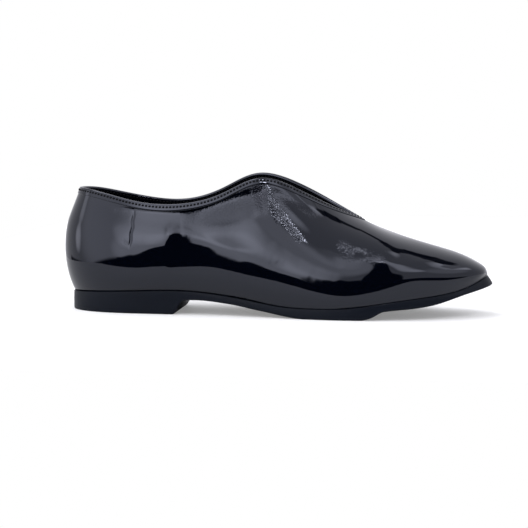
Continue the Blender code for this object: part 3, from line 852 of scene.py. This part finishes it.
def makeOutsole(material):
    form = outsoleForm
    along, rise = np.array(form["tread"]).T
    tread = flatCurve(along * lastForm["length"], rise)
    sections = evenSections(form["columnStep"])
    sides = []
    for side in (-1, 1):
        out = outward(side, sections)
        top = featherPoint(side, sections) + out * form["margin"] - upward * form["gap"]
        low = top + out * soleFlare(loopPlace(side, sections))[:, None]
        low[:, 2] = tread(low[:, 0]) + form["edgeRound"]
        ring = []
        for turn in np.radians([90, 60, 30, 0]):
            bend = out * (1 - math.cos(turn)) + upward * (1 - math.sin(turn))
            ring.append(top - bend * form["topRound"])
        first = ring[-1]
        for share in (0.2, 0.4, 0.6, 0.8, 1.0):
            ring.append(first + (low - first) * share + out * form["belly"] * 4 * share * (1 - share))
        for turn in np.radians([30, 60, 90]):
            foot = low - out * form["edgeRound"] * (1 - math.cos(turn))
            foot[:, 2] = tread(foot[:, 0]) + form["edgeRound"] * (1 - math.sin(turn))
            ring.append(foot)
        sides.append(ring)
    under = []
    for share in np.linspace(0, 1, form["across"] + 1)[1:-1]:
        line = sides[0][-1] + (sides[1][-1] - sides[0][-1]) * share
        line[:, 2] = tread(line[:, 0])
        width = np.linalg.norm(sides[1][-1] - sides[0][-1], axis=1)
        inset = np.minimum(share, 1 - share) * width - form["border"]
        groove = (line[:, 0] / form["ribPitch"]) % 1 > form["ribShare"]
        for first, last in form["treads"].values():
            here = (line[:, 0] > first * lastForm["length"]) & (line[:, 0] < last * lastForm["length"])
            line[:, 2] += form["ribDepth"] * (here & groove & (inset > 0))
        under.append(line)
    over = [sides[1][0] + (sides[0][0] - sides[1][0]) * share for share in np.linspace(0, 1, 9)[1:]]
    rings = sides[0] + under + sides[1][::-1] + over
    mesh = layGrid(np.stack(rings, 1))
    weldSeams(mesh)
    bmesh.ops.recalc_face_normals(mesh, faces=mesh.faces)
    return makePiece("moulded_outsole", mesh, material, "outsole", sharp=40)


outsole = makeOutsole(soleRubber())
print("outsole:", len(outsole.data.polygons), "faces")

# Camera at the photograph's angle: degrees round from the side, down and rolled.
photoCamera = {
    "azimuth": 6.0,
    "elevation": 4.8,
    "roll": 0.45,
    "distance": 1.1,
    "target": (0.0014, 0.00045, 0.0371),
    "targetPixel": (278.6, 250.0),
    "imageCentre": 263.5,
    "focalPixels": 1816.4,
    "imageSize": 528,
    "sensor": 36.0,
    "nearest": 0.01,
}


def direction(place):
    azimuth, elevation = (math.radians(angle) for angle in place)
    return Vector((math.sin(azimuth) * math.cos(elevation), -math.cos(azimuth) * math.cos(elevation),
                   math.sin(elevation)))


def makeCamera():
    view = photoCamera
    azimuth, roll = math.radians(view["azimuth"]), math.radians(view["roll"])
    back = direction((view["azimuth"], view["elevation"]))
    right = Vector((math.cos(azimuth), math.sin(azimuth), 0.0))
    up = back.cross(right)
    rolledRight = right * math.cos(roll) + up * math.sin(roll)
    rolledUp = up * math.cos(roll) - right * math.sin(roll)
    offRight = view["imageCentre"] - view["targetPixel"][0]
    offUp = view["targetPixel"][1] - view["imageCentre"]
    forward = (-back * view["focalPixels"] + rolledRight * offRight + rolledUp * offUp).normalized()
    rolledRight = (rolledRight - forward * rolledRight.dot(forward)).normalized()
    rolledUp = rolledRight.cross(forward)
    data = bpy.data.cameras.new("photo_camera")
    data.sensor_width = view["sensor"]
    data.lens = view["focalPixels"] * view["sensor"] / view["imageSize"]
    data.clip_start = view["nearest"]
    camera = bpy.data.objects.new("photo_camera", data)
    turn = Matrix((rolledRight, rolledUp, -forward)).transposed()
    camera.matrix_world = Matrix.Translation(Vector(view["target"]) + back * view["distance"]) @ turn.to_4x4()
    bpy.context.scene.collection.objects.link(camera)
    bpy.context.scene.camera = camera


makeCamera()
print("camera set")

# Studio: white floor, a pale surround, soft boxes and a dark front, in degrees round (0 is the front,
# plus is towards the toe) and up.
studio = {
    "surround": 0.80,
    "dim": 0.008,
    "tint": (0.98, 0.98, 1.05),
    "softBoxes": {           # middle, half width of the full light and of its fall, level
        "front": ((-16.5, 24), 0, 12.5, 2.15),
        "frontBase": ((-18, 12), 3, 13, 1.1),
        "left": ((-45, 17), 0, 40, 0.9),
        "frontHigh": ((-20, 43), 6, 14, 1.2),
        "frontRight": ((-1, 36), 5, 14, 1.0),
        "frontTop": ((-4, 46), 5, 11, 0.3),
        "frontSide": ((40, 49), 3, 12, 2.0),
        "heelStrip": ((-84, 6), 0, 10, 1.9),
        "heelHigh": ((-85, 21), 0, 10, 1.3),
        "toe": ((97, 52), 3, 14, 2.3),
        "toeLow": ((68, 39), 6, 18, 0.55),
        "rimLeft": ((-85, 68), 6, 16, 6.0),
        "rimRight": ((-28, 72), 2, 9, 8.0),
    },
    "lamps": {               # small and bright, for the broken streaks on the instep
        "spotHigh": ((20.5, 45.0), 1.0, 3.5, 34.0),
        "spotLow": ((12.5, 46.6), 0.5, 2.5, 28.0),
    },
    "patches": {             # corners, half width of the soft edge, level inside as a share
        "leftLow": ([(-112, -6.5), (-50, -8.5), (-50, -35), (-112, -35)], 0.02, 0.1),
        "frontLeft": ([(-66, -13), (-25, 5.7), (-22, 5), (-22, -35), (-66, -35)], 0.04, 0.0),
        "frontLow": ([(-26, 5.2), (-19, 8.4), (-11, 9.2), (0, 10), (45, 10), (57, 7), (70, -2), (78, -9),
                      (60, -35), (-26, -35)], 0.012, 0.0),
        "frontPeak": ([(-11, 5), (-8.6, 18.5), (-4.9, 20.9), (6.2, 16.2), (12, 5)], 0.012, 0.0),
        "flexDark": ([(7, 5), (6.5, 16), (13, 42), (28, 44), (22, 5)], 0.015, 0.0),
        "frontRamp": ([(-14.3, 5), (-14.3, 9.2), (-10.2, 17.6), (-8, 19.3), (0, 5)], 0.012, 0.0),
        "throatDark": ([(84, 48), (116, 48), (116, 55), (84, 55)], 0.025, 0.35),
        "beamRight": ([(101, 57), (112, 54.5), (128, 54), (128, 61), (112, 62)], 0.018, 0.06),
        "beamMiddle": ([(125, 53), (150, 53), (150, 62.5), (125, 62.5)], 0.018, 0.06),
        "beamLeft": ([(145, 54), (168, 53), (168, 58), (145, 61)], 0.018, 0.06),
    },
    "floorLeft": 0.30,
    "floorFront": 0.255,
    "floorRight": 0.24,
    "floorBack": 0.9,
    "floorGlow": 0.24,       # overexposure of the white floor, as the camera sees it
    "floorShader": {"Roughness": 0.6, "Emission Color": (1.0, 1.0, 1.0, 1.0)},
    "floorScale": 3.0,
    "floorDark": (0.74, 0.74, 0.72),
    "floorLight": (0.76, 0.76, 0.74),
}


def makeWorld():
    world = bpy.data.worlds.new("studio_surround")
    bpy.context.scene.world = world
    world.use_nodes = True
    tree = world.node_tree
    place = tree.nodes.new("ShaderNodeTexCoord").outputs["Generated"]

    def step(way, low, high, top=1.0):
        dot = addNode(tree, "ShaderNodeVectorMath", {0: place, 1: way}, operation="DOT_PRODUCT")
        inputs = {"Value": dot.outputs["Value"], "From Min": low, "From Max": high, "To Max": top}
        ramp = addNode(tree, "ShaderNodeMapRange", inputs, interpolation_type="SMOOTHSTEP")
        return ramp.outputs["Result"]

    def join(first, second, operation):
        return addNode(tree, "ShaderNodeMath", {0: first, 1: second}, operation=operation).outputs[0]

    def shine(light, boxes):
        for middle, inner, outer, level in boxes.values():
            box = step(direction(middle), math.cos(math.radians(outer)), math.cos(math.radians(inner)), level)
            light = join(light, box, "ADD")
        return light

    light = shine(studio["surround"], studio["softBoxes"])
    for corners, soft, level in studio["patches"].values():
        points = [direction(corner) for corner in corners]
        middle = sum(points, Vector())
        inside = level - 1.0
        for i, point in enumerate(points):
            edge = point.cross(points[(i + 1) % len(points)]).normalized()
            edge = edge if edge.dot(middle) > 0 else -edge
            inside = join(inside, step(edge, -soft, soft), "MULTIPLY")
        light = join(light, join(1.0, inside, "ADD"), "MULTIPLY")
    light = shine(light, studio["lamps"])
    background = tree.nodes["Background"]
    background.inputs["Color"].default_value = (*studio["tint"], 1.0)
    tree.links.new(join(light, studio["dim"], "ADD"), background.inputs["Strength"])
    white = addNode(tree, "ShaderNodeBackground", {"Color": (1, 1, 1, 1), "Strength": 1.0})
    seen = tree.nodes.new("ShaderNodeLightPath").outputs["Is Camera Ray"]
    mix = addNode(tree, "ShaderNodeMixShader", {0: seen, 1: background.outputs[0], 2: white.outputs[0]})
    tree.links.new(mix.outputs[0], tree.nodes["World Output"].inputs["Surface"])


def makeFloor():
    mesh = bmesh.new()
    bmesh.ops.create_grid(mesh, x_segments=2, y_segments=2, size=0.5)
    left, front, right, back = (studio["floor" + side] for side in ("Left", "Front", "Right", "Back"))
    bmesh.ops.scale(mesh, vec=(right + left, back + front, 1), verts=mesh.verts)
    bmesh.ops.translate(mesh, vec=((right - left) / 2, (back - front) / 2, 0), verts=mesh.verts)
    data = bpy.data.meshes.new("floor")
    mesh.to_mesh(data)
    mesh.free()
    material, tree, shader, place = newMaterial("floor_white", studio["floorShader"])
    drift = noise(tree, place, studio["floorScale"])
    twoTones(tree, shader, drift, studio["floorDark"], studio["floorLight"])
    seen = tree.nodes.new("ShaderNodeLightPath").outputs["Is Camera Ray"]
    tree.links.new(spread(tree, seen, 0.0, studio["floorGlow"]), shader.inputs["Emission Strength"])
    data.materials.append(material)
    floor = bpy.data.objects.new("floor", data)
    bpy.context.scene.collection.objects.link(floor)


makeWorld()
makeFloor()
bpy.context.scene.view_settings.view_transform = "Standard"
print("studio lit")
